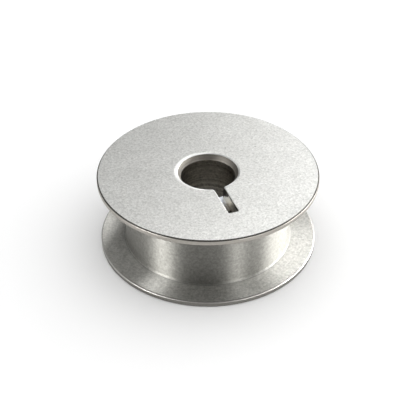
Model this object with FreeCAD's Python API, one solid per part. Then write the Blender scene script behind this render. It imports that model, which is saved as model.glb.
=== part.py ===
"""Sewing machine bobbin: two thin flanges on a wide drum, with a bevelled bore and one driving slot.

The real one is turned in one piece from aluminium bar, so the model is one solid: a half section
turned about the bore's axis, with the slot cut down into its top. Millimetres, +Z up. The origin is
on the axis, in the plane that the bobbin stands on, and the slot runs out from the bore along -Y.
"""

import FreeCAD
import Part

import os

# Overall size
FLANGE_RADIUS = 12.6
HEIGHT = 9.3

# The two flanges, and the space for thread between them
FLANGE_THICKNESS = 0.7
RIM_CHAMFER = 0.18
THREAD_DEPTH = 2.95
DRUM_FILLET = 0.25

# Bore, opened out at each end by a steep bevel and then by a shallow lip
BORE_RADIUS = 3.1
BEVEL_WIDTH = 0.36
BEVEL_DEPTH = 0.62
LIP_WIDTH = 0.26
LIP_DEPTH = 0.09

# Driving slot, which stops short of the drum's skin by its end wall
SLOT_WIDTH = 1.2
SLOT_DEPTH = 1.65
SLOT_END_WALL = 1.5
SLOT_CORNER_ROUND = 0.15
SLOT_EDGE_ROUND = 0.08

# Each break or round takes less than half of its wall, so the two on one wall never meet
BREAK_LIMIT = 0.45

ON_SIZE = 1e-6
ORIGIN = FreeCAD.Vector(0, 0, 0)
UP = FreeCAD.Vector(0, 0, 1)

DRUM_RADIUS = FLANGE_RADIUS - THREAD_DEPTH
BEVEL_RADIUS = BORE_RADIUS + BEVEL_WIDTH
MOUTH_RADIUS = BEVEL_RADIUS + LIP_WIDTH
SLOT_REACH = DRUM_RADIUS - SLOT_END_WALL
SLOT_FLOOR = HEIGHT - SLOT_DEPTH


def mirrored(points):
    """The points of a half section below mid-height, followed by their mirror images above it."""
    return points + [(radius, HEIGHT - height) for radius, height in reversed(points)]


def turned_blank():
    """The bobbin as it leaves the lathe: its half section turned once round the axis."""
    chamfer = min(RIM_CHAMFER, BREAK_LIMIT * FLANGE_THICKNESS)
    outside = mirrored([
        (MOUTH_RADIUS, 0),
        (FLANGE_RADIUS - chamfer, 0),
        (FLANGE_RADIUS, chamfer),
        (FLANGE_RADIUS, FLANGE_THICKNESS - chamfer),
        (FLANGE_RADIUS - chamfer, FLANGE_THICKNESS),
        (DRUM_RADIUS, FLANGE_THICKNESS),
    ])
    bore = mirrored([
        (BEVEL_RADIUS, LIP_DEPTH),
        (BORE_RADIUS, LIP_DEPTH + BEVEL_DEPTH),
    ])
    corners = [FreeCAD.Vector(radius, 0, height) for radius, height in outside + bore[::-1]]
    outline = Part.makePolygon(corners + corners[:1])
    blank = Part.Face(outline).revolve(ORIGIN, UP, 360)
    return blank.makeFillet(DRUM_FILLET, drum_corners(blank))


def drum_corners(blank):
    """The two circles where the drum's skin meets the insides of the flanges."""
    found = []
    for edge in blank.Edges:
        curve = edge.Curve
        if isinstance(curve, Part.Circle) and abs(curve.Radius - DRUM_RADIUS) < ON_SIZE:
            found.append(edge)
    return found


def slot_cutter():
    """Bar that cuts the slot: square across, with the corners of its outer end rounded."""
    corner = FreeCAD.Vector(-SLOT_WIDTH / 2, -SLOT_REACH, SLOT_FLOOR)
    bar = Part.makeBox(SLOT_WIDTH, SLOT_REACH, SLOT_DEPTH, corner)
    end_corners = []
    for edge in bar.Edges:
        upright = abs(edge.Vertexes[0].Z - edge.Vertexes[1].Z) > ON_SIZE
        if upright and edge.CenterOfMass.y < ON_SIZE - SLOT_REACH:
            end_corners.append(edge)
    corner_round = min(SLOT_CORNER_ROUND, BREAK_LIMIT * SLOT_WIDTH)
    return bar.makeFillet(corner_round, end_corners)


def slot_rim(bobbin):
    """The edges where the slot's walls meet the top face."""
    found = []
    for edge in bobbin.Edges:
        ends = edge.Vertexes
        on_top = all(abs(end.Z - HEIGHT) < ON_SIZE for end in ends)
        beside_slot = all(abs(end.X) < SLOT_WIDTH / 2 + ON_SIZE for end in ends)
        past_mouth = min(end.Y for end in ends) < ON_SIZE - MOUTH_RADIUS
        if on_top and beside_slot and past_mouth:
            found.append(edge)
    return found


bobbin = turned_blank().cut(slot_cutter())
bobbin = bobbin.makeFillet(SLOT_EDGE_ROUND, slot_rim(bobbin))

os.makedirs("parts", exist_ok=True)
bobbin.exportStep("parts/bobbin.step")
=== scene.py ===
import bmesh
import bpy
import math
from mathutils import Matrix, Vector


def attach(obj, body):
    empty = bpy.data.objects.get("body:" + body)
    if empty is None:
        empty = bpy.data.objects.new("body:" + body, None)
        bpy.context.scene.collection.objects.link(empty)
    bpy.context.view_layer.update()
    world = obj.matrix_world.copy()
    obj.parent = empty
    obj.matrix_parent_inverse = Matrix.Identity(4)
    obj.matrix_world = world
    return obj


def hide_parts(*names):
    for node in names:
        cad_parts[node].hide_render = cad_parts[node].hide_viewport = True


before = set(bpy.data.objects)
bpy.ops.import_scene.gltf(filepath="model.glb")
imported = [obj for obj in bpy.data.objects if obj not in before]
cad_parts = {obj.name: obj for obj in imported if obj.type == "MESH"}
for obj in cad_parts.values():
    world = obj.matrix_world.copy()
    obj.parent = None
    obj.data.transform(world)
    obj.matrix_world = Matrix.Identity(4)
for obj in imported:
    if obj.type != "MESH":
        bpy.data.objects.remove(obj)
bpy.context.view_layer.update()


# Bobbin, turned body
# The real piece is turned from aluminium bar: two thin flanges, a straight drum between them and a bore
# right through. Its half section is a list of corners, each softened by the tumbling that ends the job.

MM = 0.001
HEIGHT = 9.3
FLANGE_RADIUS = 12.6
FLANGE_THICKNESS = 0.7
RIM_CHAMFER = 0.13
DRUM_RADIUS = 9.65
DRUM_FILLET = 0.25
BORE_RADIUS = 3.1
BEVEL_RADIUS = 3.46
BEVEL_FOOT = 0.71
MOUTH_RADIUS = 3.72
LIP_DEPTH = 0.09

# How far each kind of corner is rounded, and the short flat that is kept beside each rounding
LIP_BLEND = 0.3
POLISHED_EDGE = 0.13
TUMBLED_EDGE = 0.07
CRISP_EDGE = 0.02
KEPT_FLAT = 0.015
SECTION_STEPS = 6


def softened(corners):
    """The (radius, height) points of a section whose corners are each rounded by their own radius."""
    points = []
    for index, (radius, height, rounding) in enumerate(corners):
        corner = Vector((radius, height))
        if rounding == 0:
            points.append(corner)
            continue
        before = (Vector(corners[index - 1][:2]) - corner).normalized()
        after = (Vector(corners[index + 1][:2]) - corner).normalized()
        half_angle = before.angle(after) / 2
        centre = corner + (before + after).normalized() * (rounding / math.sin(half_angle))
        start = corner + before * (rounding / math.tan(half_angle)) - centre
        end = corner + after * (rounding / math.tan(half_angle)) - centre
        points.append(centre + start + before * KEPT_FLAT)
        for step in range(SECTION_STEPS + 1):
            points.append(centre + start.slerp(end, step / SECTION_STEPS) * rounding)
        points.append(centre + end + after * KEPT_FLAT)
    return points


# The corners without a rounding only show which way the section runs on
ON_FACE = MOUTH_RADIUS + 1
outside_corners = [
    (ON_FACE, HEIGHT, 0),
    (FLANGE_RADIUS - RIM_CHAMFER, HEIGHT, TUMBLED_EDGE),
    (FLANGE_RADIUS, HEIGHT - RIM_CHAMFER, POLISHED_EDGE),
    (FLANGE_RADIUS, HEIGHT - FLANGE_THICKNESS + RIM_CHAMFER, TUMBLED_EDGE),
    (FLANGE_RADIUS - RIM_CHAMFER, HEIGHT - FLANGE_THICKNESS, TUMBLED_EDGE),
    (DRUM_RADIUS, HEIGHT - FLANGE_THICKNESS, DRUM_FILLET),
    (DRUM_RADIUS, FLANGE_THICKNESS, DRUM_FILLET),
    (FLANGE_RADIUS - RIM_CHAMFER, FLANGE_THICKNESS, TUMBLED_EDGE),
    (FLANGE_RADIUS, FLANGE_THICKNESS - RIM_CHAMFER, POLISHED_EDGE),
    (FLANGE_RADIUS, RIM_CHAMFER, TUMBLED_EDGE),
    (FLANGE_RADIUS - RIM_CHAMFER, 0, TUMBLED_EDGE),
    (MOUTH_RADIUS, 0, LIP_BLEND),
    (BEVEL_RADIUS, LIP_DEPTH, TUMBLED_EDGE),
    (BORE_RADIUS, BEVEL_FOOT, CRISP_EDGE),
    (BORE_RADIUS, HEIGHT / 2, 0),
]
outside = softened(outside_corners)[1:-1]

mouth_corners = [
    (ON_FACE, HEIGHT, 0),
    (MOUTH_RADIUS, HEIGHT, LIP_BLEND),
    (BEVEL_RADIUS, HEIGHT - LIP_DEPTH, TUMBLED_EDGE),
    (BORE_RADIUS, HEIGHT - BEVEL_FOOT, CRISP_EDGE),
    (BORE_RADIUS, HEIGHT / 2, 0),
]
mouth = softened(mouth_corners)[1:]

# Finishes of the metal, numbered in the order in which their materials are made
TUMBLED, FACED, TURNED, FILLET, RIM, LOWER_RIM, EDGE, LOWER_EDGE = range(8)
BEVELLED, BORED, MILLED_WALL, MILLED_FLOOR, BURNISHED, POLISHED, LOWER_POLISHED = range(8, 15)


def outside_finish(radius, height):
    """The finish at a place on the outside, where it changes part of the way round a softened corner."""
    upper = height > HEIGHT / 2
    between_flanges = FLANGE_THICKNESS < height < HEIGHT - FLANGE_THICKNESS
    inner_side = FLANGE_THICKNESS / 2 < height < HEIGHT - FLANGE_THICKNESS / 2
    if radius < BORE_RADIUS + CRISP_EDGE:
        return BORED
    if radius < BEVEL_RADIUS:
        return BEVELLED
    # The two flanges get differently toned copies here: painted shade on the lower rim and the upper edge
    # and corner, painted highlights on the lower edge and corner
    if radius > FLANGE_RADIUS - POLISHED_EDGE / 12:
        return RIM if upper else LOWER_RIM
    if radius > FLANGE_RADIUS - POLISHED_EDGE / 3:
        return POLISHED if upper else LOWER_POLISHED
    if radius > FLANGE_RADIUS - RIM_CHAMFER - TUMBLED_EDGE / 2:
        return LOWER_EDGE if inner_side and not upper else EDGE
    if between_flanges and radius < DRUM_RADIUS + DRUM_FILLET / 4:
        return TURNED
    if between_flanges and radius < DRUM_RADIUS + DRUM_FILLET:
        return FILLET
    return FACED if inner_side else TUMBLED


def mouth_finish(height):
    """The finish of the bore's mouth just above a height."""
    if height > HEIGHT - LIP_DEPTH / 8:
        return TUMBLED
    if height > HEIGHT - LIP_DEPTH - TUMBLED_EDGE / 4:
        return BURNISHED
    if height > HEIGHT - BEVEL_FOOT - CRISP_EDGE:
        return BEVELLED
    return BORED


# Bobbin, driving slot
# A slot milled into the top face, open to the bore and square at its outer end. Its upper edges are
# rounded over, and its walls turn into the bore's mouth round a small corner.

SLOT_HALF_WIDTH = 0.6
SLOT_REACH = 8.15
SLOT_DEPTH = 1.65
SLOT_EDGE = 0.08
SLOT_END_CORNER = 0.15
SLOT_MOUTH_CORNER = 0.35
EDGE_STEPS = 6
END_STEPS = 3
CORNER_STEPS = 5
WALL_STEPS = 14
ROUND_STEPS = 120


def slot_flare(depth):
    """How far the slot's wall stands back, at a depth below the top face, because of its rounded edge."""
    if depth >= SLOT_EDGE:
        return 0
    return SLOT_EDGE - math.sqrt(SLOT_EDGE ** 2 - (SLOT_EDGE - depth) ** 2)


def mouth_radius(height):
    """The radius of the bore's mouth at a height, read from its section."""
    for upper, lower in zip(mouth, mouth[1:]):
        if lower.y <= height <= upper.y and upper.y > lower.y:
            share = (upper.y - height) / (upper.y - lower.y)
            return upper.x + share * (lower.x - upper.x)
    return mouth[0].x


def arc(centre, radius, start, end, steps):
    """Points (x, forward) round a centre, from one angle to another, the last one left out."""
    found = []
    for step in range(steps):
        angle = start + (end - start) * step / steps
        found.append((centre[0] + radius * math.sin(angle), centre[1] + radius * math.cos(angle)))
    return found


def half_opening(height, spread=0):
    """The right half of the hole that bore and slot make at a height, from the slot's end to the back."""
    flare = slot_flare(max(HEIGHT - height, 0)) + spread
    half_width = SLOT_HALF_WIDTH + flare
    reach = SLOT_REACH + flare
    end_corner = SLOT_END_CORNER + flare
    radius = mouth_radius(height) + spread
    corner_x = half_width + SLOT_MOUTH_CORNER
    corner_y = math.sqrt((radius + SLOT_MOUTH_CORNER) ** 2 - corner_x ** 2)
    turn = math.atan2(corner_x, corner_y)
    points = []
    for step in range(END_STEPS):
        points.append(((half_width - end_corner) * step / END_STEPS, reach))
    points += arc((half_width - end_corner, reach - end_corner), end_corner, 0, math.pi / 2, CORNER_STEPS)
    wall_start = reach - end_corner
    for step in range(WALL_STEPS):
        points.append((half_width, wall_start + (corner_y - wall_start) * step / WALL_STEPS))
    points += arc((corner_x, corner_y), SLOT_MOUTH_CORNER, -math.pi / 2, turn - math.pi, CORNER_STEPS)
    points += arc((0, 0), radius, turn, math.pi, ROUND_STEPS)
    return points + [(0, -radius)]


def whole_ring(half, height):
    """Both halves of a ring as points in metres: the slot runs towards -Y."""
    left = [(-x, forward) for x, forward in reversed(half[1:-1])]
    return [Vector((x, -forward, height)) * MM for x, forward in half + left]


def round_ring(angles, radius, height):
    """A round ring whose points stand at the given angles, so that they meet the slot's columns."""
    half = [(radius * math.sin(angle), radius * math.cos(angle)) for angle in angles]
    return whole_ring(half, height)


# Heights of the rings in the opening: the section's own points, and the rounding of the slot's edge
SAME_HEIGHT = 1e-5
floor_height = HEIGHT - SLOT_DEPTH
levels = {floor_height}
for point in mouth:
    levels.add(max(point.y, floor_height))
for step in range(EDGE_STEPS + 1):
    levels.add(HEIGHT - SLOT_EDGE * (1 - math.cos(math.pi / 2 * step / EDGE_STEPS)))
levels = sorted(levels)
levels = [low for low, high in zip(levels, levels[1:]) if high - low > SAME_HEIGHT] + [HEIGHT]

# Angles of the columns, from the slot's direction round to the back: on the face, and down in the bore
face_angles = [math.atan2(x, forward) for x, forward in half_opening(HEIGHT, KEPT_FLAT)]
slot_columns = END_STEPS + CORNER_STEPS + WALL_STEPS + CORNER_STEPS
bore_angles = [math.atan2(x, forward) for x, forward in half_opening(floor_height)]
for column in range(slot_columns):
    bore_angles[column] = bore_angles[slot_columns] * column / slot_columns

# Rings up through the opening, out over the face, round the outside and up the bore to the slot's floor
rings = []
finishes = []
for level in levels:
    rings.append(whole_ring(half_opening(level), level))
    finishes.append(mouth_finish(level))
rings.append(whole_ring(half_opening(HEIGHT, KEPT_FLAT), HEIGHT))
finishes.append(TUMBLED)
for index, point in enumerate(outside):
    angles = bore_angles if point.x < MOUTH_RADIUS + LIP_BLEND else face_angles
    rings.append(round_ring(angles, point.x, point.y))
    middle = (point + outside[min(index + 1, len(outside) - 1)]) / 2
    finishes.append(outside_finish(middle.x, middle.y))
rings.append(round_ring(bore_angles, BORE_RADIUS, floor_height))
finishes.append(BORED)

# The lip's outer edge runs a little off centre, so it is wider on one side. This fades out at the slot.
LIP_OFFSET = 0.16
LIP_LEAN = math.radians(-65)
LIP_FADE_COLUMNS = 12
for level, ring in zip(levels + [HEIGHT], rings):
    rise = max(0, (level - (HEIGHT - LIP_DEPTH)) / LIP_DEPTH)
    for column, point in enumerate(ring):
        from_slot = min(column, len(ring) - 1 - column) - slot_columns
        fade = min(max(from_slot / LIP_FADE_COLUMNS, 0), 1)
        around = math.atan2(point.x, -point.y)
        reach = LIP_OFFSET * MM * rise * fade * math.cos(around - LIP_LEAN)
        flat = Vector((point.x, point.y, 0))
        ring[column] = point + flat.normalized() * reach

FLOOR_MARGIN = 0.01
SAME_PLACE = 1e-8
SHARP_EDGE = math.radians(35)
shape = bmesh.new()
grid = [[shape.verts.new(point) for point in ring] for ring in rings]
count = len(grid[0])
for row, (ring, finish) in enumerate(zip(grid, finishes)):
    next_ring = grid[(row + 1) % len(grid)]
    for column in range(count):
        beside = (column + 1) % count
        face = shape.faces.new((ring[column], next_ring[column], next_ring[beside], ring[beside]))
        face.smooth = True
        face.material_index = finish
        in_slot = min(column, count - 1 - column) < slot_columns
        lowest = min(corner.co.z for corner in face.verts) / MM
        if in_slot and row == len(grid) - 1:
            face.material_index = MILLED_FLOOR
        elif in_slot and lowest > floor_height - FLOOR_MARGIN and finish in (BEVELLED, BORED):
            face.material_index = MILLED_WALL
bmesh.ops.remove_doubles(shape, verts=shape.verts, dist=SAME_PLACE)
bmesh.ops.dissolve_degenerate(shape, edges=shape.edges, dist=SAME_PLACE)
bmesh.ops.recalc_face_normals(shape, faces=shape.faces)
for edge in shape.edges:
    edge.smooth = edge.calc_face_angle(0) < SHARP_EDGE
mesh = bpy.data.meshes.new("bobbin_body")
shape.to_mesh(mesh)
shape.free()
bobbin = bpy.data.objects.new("bobbin_body", mesh)
bpy.context.scene.collection.objects.link(bobbin)
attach(bobbin, "root")
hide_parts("bobbin")


# Finish of the metal
# Bare aluminium throughout. What the eye tells apart is how each surface was made: tumbled outer faces,
# flanges faced on the lathe, a turned drum, a bored hole, a milled slot, and edges smoothed by tumbling.
# Some of the tones are painted light and shade, as the comment at each material says.

def linear(hex_colour):
    """An sRGB hex colour as linear red, green, blue and alpha."""
    channels = []
    for start in (0, 2, 4):
        value = int(hex_colour[start:start + 2], 16) / 255
        channels.append(value / 12.92 if value <= 0.04045 else ((value + 0.055) / 1.055) ** 2.4)
    return (*channels, 1)


def add(tree, kind, inputs, **settings):
    """A node with its settings, whose inputs are values or the sockets that feed them."""
    node = tree.nodes.new(kind)
    for name, value in settings.items():
        setattr(node, name, value)
    for name, value in inputs.items():
        if isinstance(value, bpy.types.NodeSocket):
            tree.links.new(value, node.inputs[name])
        else:
            node.inputs[name].default_value = value
    return node


def new_material(name):
    """An empty material, added to the bobbin, with its node tree."""
    material = bpy.data.materials.new(name)
    material.use_nodes = True
    material.node_tree.nodes.clear()
    mesh.materials.append(material)
    return material.node_tree


def metal(tree, inputs):
    """The metal's shader and the material's output."""
    shader = add(tree, "ShaderNodeBsdfPrincipled", {"Metallic": 1.0, **inputs})
    add(tree, "ShaderNodeOutputMaterial", {"Surface": shader.outputs["BSDF"]})


# Tumbled faces, bright and satin: a fine uneven grain with light flecks, a few hair scratches and pits.
# Tumbling leaves marks of about 0.1 mm, drawn here at 0.26 mm so that they show.
GRAIN = 0.26
CLOUD = 3.0
SCRATCH_BEND = 1.5
SCRATCH_BEND_LENGTH = 4.0
SCRATCH_RARITY = 0.955
PIT_SPACING = 0.9
PIT_RARITY = 0.85
BUMP_HEIGHT = 0.02
tree = new_material("tumbled_aluminium")
place = add(tree, "ShaderNodeTexCoord", {}).outputs["Object"]
grain = add(tree, "ShaderNodeTexNoise", {
    "Vector": place, "Scale": 1 / (GRAIN * MM), "Detail": 2.0, "Roughness": 0.9, "Distortion": 0.3})
cloud = add(tree, "ShaderNodeTexNoise", {
    "Vector": place, "Scale": 1 / (CLOUD * MM), "Detail": 4.0, "Roughness": 0.6})
tone = add(tree, "ShaderNodeMix", {"Factor": 0.15, "A": grain.outputs["Fac"], "B": cloud.outputs["Fac"]})
tone = add(tree, "ShaderNodeMapRange", {"Value": tone.outputs["Result"], "From Min": 0.3, "From Max": 0.7})
colour = add(tree, "ShaderNodeMix", {
    "Factor": tone.outputs["Result"], "A": linear("C1C1BD"), "B": linear("F9F9F6")}, data_type="RGBA")


def scratches(tree, place, turn, length, width):
    """Scattered hairlines, all turned one way: 1 on a line and 0 off it."""
    stretched = add(tree, "ShaderNodeMapping", {
        "Vector": place, "Rotation": (0, 0, math.radians(turn)),
        "Scale": (1 / length, 1 / width, 1 / length)})
    cells = add(tree, "ShaderNodeTexVoronoi", {"Vector": stretched.outputs["Vector"], "Scale": 1.0},
                voronoi_dimensions="2D")
    chosen = add(tree, "ShaderNodeMath", {0: cells.outputs["Color"], 1: SCRATCH_RARITY},
                 operation="GREATER_THAN")
    near = add(tree, "ShaderNodeMapRange", {
        "Value": cells.outputs["Distance"], "From Min": 0.1, "From Max": 0.3, "To Min": 1.0, "To Max": 0.0})
    both = add(tree, "ShaderNodeMath", {0: chosen.outputs["Value"], 1: near.outputs["Result"]},
               operation="MULTIPLY")
    return both.outputs["Value"]


# Hairlines 1 to 2 mm long, drawn 0.2 mm wide so that they show, each bent a little
bend = SCRATCH_BEND * MM
wander = add(tree, "ShaderNodeTexNoise", {
    "Vector": place, "Scale": 1 / (SCRATCH_BEND_LENGTH * MM), "Detail": 1.0})
shift = add(tree, "ShaderNodeVectorMath", {0: wander.outputs["Color"], 1: (bend, bend, 0)},
            operation="MULTIPLY")
bent = add(tree, "ShaderNodeVectorMath", {0: place, 1: shift.outputs["Vector"]}, operation="ADD")
for turn, length, width in ((30, 2.0, 0.2), (-40, 1.6, 0.2), (80, 1.2, 0.2)):
    line = scratches(tree, bent.outputs["Vector"], turn, length * MM, width * MM)
    colour = add(tree, "ShaderNodeMix", {
        "Factor": line, "A": colour.outputs[2], "B": linear("FFFFFF")}, data_type="RGBA")

# Rare dark pits, up to 0.3 mm across
pits = add(tree, "ShaderNodeTexVoronoi", {"Vector": place, "Scale": 1 / (PIT_SPACING * MM)})
rare = add(tree, "ShaderNodeMath", {0: pits.outputs["Color"], 1: PIT_RARITY}, operation="GREATER_THAN")
small = add(tree, "ShaderNodeMapRange", {
    "Value": pits.outputs["Distance"], "From Min": 0.05, "From Max": 0.18, "To Min": 0.6, "To Max": 0.0})
pit = add(tree, "ShaderNodeMath", {0: rare.outputs["Value"], 1: small.outputs["Result"]},
          operation="MULTIPLY")
colour = add(tree, "ShaderNodeMix", {
    "Factor": pit.outputs["Value"], "A": colour.outputs[2], "B": linear("70706C")}, data_type="RGBA")
bump = add(tree, "ShaderNodeBump", {
    "Height": grain.outputs["Fac"], "Strength": 0.22, "Distance": BUMP_HEIGHT * MM})
metal(tree, {"Base Color": colour.outputs[2], "Roughness": 0.34, "Normal": bump.outputs["Normal"]})


TURNED_GRAIN = 0.3


def turned(name, axis, size, tones, roughness, anisotropy=0, grain_share=0.5, bumps=0,
           painted_shade=None, extras=None):
    """Turned metal: fine lines that follow the tool round the bobbin, mixed with an uneven grain.

    The lines change with the radius (axis R) or with the height (axis Z), over a size in millimetres.
    Painted shade is (start, end, colour at the start) along the height. Extras are values on the shader
    itself.
    """
    tree = new_material(name)
    place = add(tree, "ShaderNodeTexCoord", {}).outputs["Object"]
    height = add(tree, "ShaderNodeSeparateXYZ", {"Vector": place}).outputs["Z"]
    flat = add(tree, "ShaderNodeVectorMath", {0: place, 1: (1, 1, 0)}, operation="MULTIPLY")
    radius = add(tree, "ShaderNodeVectorMath", {0: flat.outputs["Vector"]}, operation="LENGTH")
    across = radius.outputs["Value"] if axis == "R" else height
    lines = add(tree, "ShaderNodeTexNoise", {
        "W": across, "Scale": 1 / (size * MM), "Detail": 3.0, "Roughness": 0.6}, noise_dimensions="1D")
    grain = add(tree, "ShaderNodeTexNoise", {
        "Vector": place, "Scale": 1 / (TURNED_GRAIN * MM), "Detail": 2.0, "Roughness": 0.8})
    tone = add(tree, "ShaderNodeMix", {
        "Factor": grain_share, "A": lines.outputs["Fac"], "B": grain.outputs["Fac"]})
    tone = add(tree, "ShaderNodeMapRange", {
        "Value": tone.outputs["Result"], "From Min": 0.3, "From Max": 0.7})
    colour = add(tree, "ShaderNodeMix", {
        "Factor": tone.outputs["Result"], "A": linear(tones[0]), "B": linear(tones[1])}, data_type="RGBA")
    # Painted shade: the colour darkens towards the start along the height
    if painted_shade:
        start, end, painted_shade_colour = painted_shade
        share = add(tree, "ShaderNodeMapRange", {
            "Value": height, "From Min": start * MM, "From Max": end * MM, "To Min": 1.0, "To Max": 0.0})
        colour = add(tree, "ShaderNodeMix", {
            "Factor": share.outputs["Result"], "A": colour.outputs[2], "B": linear(painted_shade_colour)},
            data_type="RGBA")
    inputs = {"Base Color": colour.outputs[2], "Roughness": roughness}
    if bumps:
        bump = add(tree, "ShaderNodeBump", {
            "Height": grain.outputs["Fac"], "Strength": bumps, "Distance": BUMP_HEIGHT * MM})
        inputs["Normal"] = bump.outputs["Normal"]
    if anisotropy:
        tangent = add(tree, "ShaderNodeTangent", {}, direction_type="RADIAL", axis="Z")
        inputs["Anisotropic"] = anisotropy
        inputs["Anisotropic Rotation"] = 0.25
        inputs["Tangent"] = tangent.outputs["Tangent"]
    metal(tree, {**inputs, **(extras or {})})


# Insides of the flanges, faced on the lathe: its marks go round, so each reflection spreads in and out.
# Feed marks are about 0.05 mm apart. They are drawn at 0.1 to 0.35 mm, here and below, so that they show.
turned("faced_aluminium", "R", 0.3, ("A8A7A2", "D6D5D0"), 0.65, 1.0, 0.85, bumps=0.2)

# Drum, turned: darker than the flanges through painted shade, with reflections drawn out into upright light
# and dark bands
turned("turned_aluminium", "Z", 0.3, ("706F6A", "8E8D88"), 0.5, 0.85, 0.85, bumps=0.1)

# Fillets at the ends of the drum, turned with it: a tone between those of drum and flange, so partly
# painted shade
turned("fillet_aluminium", "Z", 0.3, ("8A8984", "A8A7A2"), 0.55, 0.92, 0.85, bumps=0.1)

# Upper rim, turned and dull: an even mid grey band. It scatters part of its light, so it isn't all metal.
turned("rim_aluminium", "Z", 0.15, ("908C85", "A4A099"), 0.45, extras={"Metallic": 0.7})

# Lower rim, turned like the upper one: a darker band above the floor, whose darker tone is painted shade
turned("lower_rim_painted_shade", "Z", 0.15, ("6A6863", "807E78"), 0.5, extras={"Metallic": 0.3})

# Edges between face and rim: a dark hairline of painted shade, standing for a dark reflection
turned("edge_aluminium", "Z", 0.15, ("34322F", "44423E"), 0.6,
       extras={"Metallic": 0.1, "Specular IOR Level": 0.1})

# The same edge on the upper side of the lower flange: a pale hairline, a painted highlight where it faces
# the light
turned("lower_edge_painted_highlight", "Z", 0.15, ("8A8884", "9A9894"), 0.3)

# Bevels of the bore, turned: dull and warm. The upper one has painted shade, darker towards its top.
turned("bevel_aluminium", "Z", 0.12, ("5A5752", "8A8680"), 0.6, 0, 0.4,
       painted_shade=(HEIGHT - LIP_DEPTH, HEIGHT - BEVEL_FOOT, "4A4742"))

# Bore, bored smooth: uneven streaks that go round it, dark because little light gets in
turned("bored_aluminium", "Z", 0.35, ("7E7A73", "E2DED6"), 0.28, bumps=0.2)


# Patches of painted reflection and shade: their size, and how far they shift the tones along the slot and
# up
PATCH = 0.7
PATCH_WANDER = 1.6
UPPER_WANDER = 0.6
UPPER_START = -0.2
UPPER_END = 0.1


def milled(name, roughness, lean, start, end, stops, upper_shade_tone):
    """Milled metal with painted reflections and shade: its tone changes along the slot in uneven patches
    that lean with the depth.

    Start and end are distances from the axis. Stops are (place between them from 0 to 1, colour).
    The upper tone, a painted shade, takes over just below the top face.
    """
    tree = new_material(name)
    place = add(tree, "ShaderNodeTexCoord", {}).outputs["Object"]
    spot = add(tree, "ShaderNodeSeparateXYZ", {"Vector": place})
    patch = add(tree, "ShaderNodeTexNoise", {"Vector": place, "Scale": 1 / (PATCH * MM), "Detail": 2.0})
    leant = add(tree, "ShaderNodeMath", {0: spot.outputs["Z"], 1: lean, 2: spot.outputs["Y"]},
                operation="MULTIPLY_ADD")
    uneven = add(tree, "ShaderNodeMath", {
        0: patch.outputs["Fac"], 1: PATCH_WANDER * MM, 2: leant.outputs["Value"]}, operation="MULTIPLY_ADD")
    zero = lean * HEIGHT + PATCH_WANDER / 2
    along = add(tree, "ShaderNodeMapRange", {
        "Value": uneven.outputs["Value"], "From Min": (zero - start) * MM, "From Max": (zero - end) * MM})
    ramp = add(tree, "ShaderNodeValToRGB", {"Fac": along.outputs["Result"]})
    elements = ramp.color_ramp.elements
    elements[0].position, elements[0].color = stops[0][0], linear(stops[0][1])
    elements[1].position, elements[1].color = stops[-1][0], linear(stops[-1][1])
    for position, tone in stops[1:-1]:
        elements.new(position).color = linear(tone)
    deep = add(tree, "ShaderNodeMath", {
        0: patch.outputs["Fac"], 1: UPPER_WANDER * MM, 2: spot.outputs["Z"]}, operation="MULTIPLY_ADD")
    upper = add(tree, "ShaderNodeMapRange", {
        "Value": deep.outputs["Value"],
        "From Min": (HEIGHT + UPPER_START) * MM, "From Max": (HEIGHT + UPPER_END) * MM})
    colour = add(tree, "ShaderNodeMix", {
        "Factor": upper.outputs["Result"], "A": ramp.outputs["Color"], "B": linear(upper_shade_tone)},
        data_type="RGBA")
    metal(tree, {"Base Color": colour.outputs[2], "Roughness": roughness})


# Slot's walls, milled: dark near the bore, then warm white, then light grey, and darker just below the top
# face. These tones are painted reflections and shade.
milled("milled_wall_painted_light", 0.4, 1.4, 5.0, 8.4, (
    (0.0, "4E4C48"), (0.09, "4E4C48"), (0.18, "FFFBEF"),
    (0.54, "FFF8EA"), (0.68, "C8C5BE"), (1.0, "E4E2DC")), "6E6C66")

# Slot's floor, milled: painted light, cool white by the bore, and painted shade, nearly black beyond the
# middle
milled("milled_floor_painted_light", 0.35, 0, BORE_RADIUS, SLOT_REACH, (
    (0.0, "ECF0F6"), (0.24, "ECF0F6"), (0.32, "A8A6A2"),
    (0.45, "8A8884"), (0.5, "32302D"), (1.0, "32302D")), "32302D")

# Lip of the bore's mouth, burnished by the tumbling: a smooth light line round the bore
turned("burnished_aluminium", "Z", 0.1, ("DCDCDA", "ECECEA"), 0.28)

# Outer corners of the rims, polished by the tumbling: a thin line, with painted shade on the upper flange
# and a painted highlight on the lower
turned("polished_aluminium", "Z", 0.1, ("605D59", "6E6B67"), 0.35)
turned("lower_polished_aluminium", "Z", 0.1, ("9A9894", "AAA8A4"), 0.42)


# Studio
# A white paper floor under one broad lamp, and light cards round the bobbin for its metal to mirror.

CAMERA_AZIMUTH = -20
camera_turn = math.radians(CAMERA_AZIMUTH)


def seen_from_camera(right, back, up):
    """A point given by how far it is to the right, to the back and up, as the camera sees it, in metres."""
    x = right * math.cos(camera_turn) - back * math.sin(camera_turn)
    y = right * math.sin(camera_turn) + back * math.cos(camera_turn)
    return Vector((x, y, up))


LAMP_DISTANCE = 0.5


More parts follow.
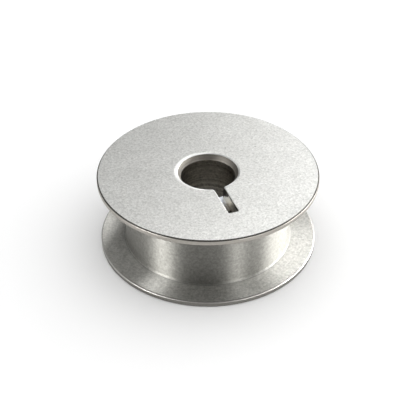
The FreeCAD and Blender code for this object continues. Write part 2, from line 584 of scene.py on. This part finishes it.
def softbox(name, azimuth, elevation, width, height, radiance):
    """An area lamp aimed at the bobbin, in metres. Azimuth is from the camera's side, to the right."""
    around = math.radians(azimuth)
    upward = math.radians(elevation)
    lamp = bpy.data.lights.new(name, "AREA")
    lamp.shape = "RECTANGLE"
    lamp.size = width
    lamp.size_y = height
    lamp.energy = radiance * math.pi * width * height
    holder = bpy.data.objects.new(name, lamp)
    reach = LAMP_DISTANCE * math.cos(upward)
    raised = LAMP_DISTANCE * math.sin(upward)
    holder.location = seen_from_camera(reach * math.sin(around), -reach * math.cos(around), raised)
    aim = Vector((0, 0, HEIGHT * MM / 2)) - holder.location
    holder.rotation_euler = aim.to_track_quat("-Z", "Y").to_euler()
    bpy.context.scene.collection.objects.link(holder)
    return holder


# One broad lamp lights the floor and gives the soft shadow
key = softbox("key", 114, 74, 1.3, 1.3, 1.4)
key.visible_glossy = False

# Cards that the metal mirrors as its light and dark bands, kept off the floor.
# Each has its name, azimuth, elevation, width, height and radiance.
cards = (
    ("top", 180, 80, 0.3, 0.3, 1.15),
    ("overhead", 180, 60, 0.3, 0.2, 1.4),
    ("panel", 156, 38, 0.34, 0.3, 0.66),
    ("panel_right", 120, 36, 0.25, 0.25, 2.1),
    ("right_side", 75, 22, 0.3, 0.2, 5.0),
    ("right_mid", 148, 18, 0.2, 0.12, 15.0),
    ("right_far", 130, 12, 0.2, 0.1, 16.0),
    ("right_low", 98, 5, 0.4, 0.05, 98.0),
    ("left_low", -56, 7.5, 0.18, 0.07, 80.0),
    ("left_wide", -88, 7, 0.3, 0.07, 4.0),
    ("front_low", 36, 6, 0.13, 0.05, 66.0),
    ("left_fill", -118, 30, 0.3, 0.2, 0.7),
    ("left_back", -135, 3.5, 0.4, 0.05, 1.5),
    ("back_glint", 178, 12, 0.3, 0.05, 3.0),
    ("mouth_glint", 156, 27, 0.14, 0.06, 1.5),
)
for card in cards:
    softbox(*card).visible_diffuse = False

FLOOR_SIZE = 3.0
floor_shape = bmesh.new()
bmesh.ops.create_grid(floor_shape, x_segments=1, y_segments=1, size=FLOOR_SIZE / 2)
floor_mesh = bpy.data.meshes.new("floor")
floor_shape.to_mesh(floor_mesh)
floor_shape.free()
floor = bpy.data.objects.new("floor", floor_mesh)
bpy.context.scene.collection.objects.link(floor)

# Matt white paper: a plain pale surface with no sheen, which keeps the shadow soft
paper = bpy.data.materials.new("white_paper")
paper.use_nodes = True
paper_surface = paper.node_tree.nodes["Principled BSDF"]
paper_surface.inputs["Base Color"].default_value = linear("F2F2F2")
paper_surface.inputs["Roughness"].default_value = 0.9
paper_surface.inputs["Specular IOR Level"].default_value = 0.0
floor_mesh.materials.append(paper)

SURROUND = 0.28
world = bpy.data.worlds.new("studio_air")
bpy.context.scene.world = world
world.use_nodes = True
surround = world.node_tree.nodes["Background"]
surround.inputs["Color"].default_value = linear("FFFFFF")
surround.inputs["Strength"].default_value = SURROUND

CAMERA_DISTANCE = 0.11663
CAMERA_ELEVATION = math.radians(37.5)
CAMERA_AIM_HEIGHT = 0.00396
CAMERA_FIELD = math.radians(23.49)
camera_data = bpy.data.cameras.new("camera")
camera_data.angle = CAMERA_FIELD
camera_data.clip_start = 0.01
camera_data.clip_end = 10
camera = bpy.data.objects.new("camera", camera_data)
back_off = CAMERA_DISTANCE * math.cos(CAMERA_ELEVATION)
rise = CAMERA_DISTANCE * math.sin(CAMERA_ELEVATION)
aim_point = Vector((0, 0, CAMERA_AIM_HEIGHT))
camera.location = aim_point + seen_from_camera(0, -back_off, rise)
camera.rotation_euler = (aim_point - camera.location).to_track_quat("-Z", "Y").to_euler()
bpy.context.scene.collection.objects.link(camera)
bpy.context.scene.camera = camera
bpy.context.scene.view_settings.view_transform = "Standard"
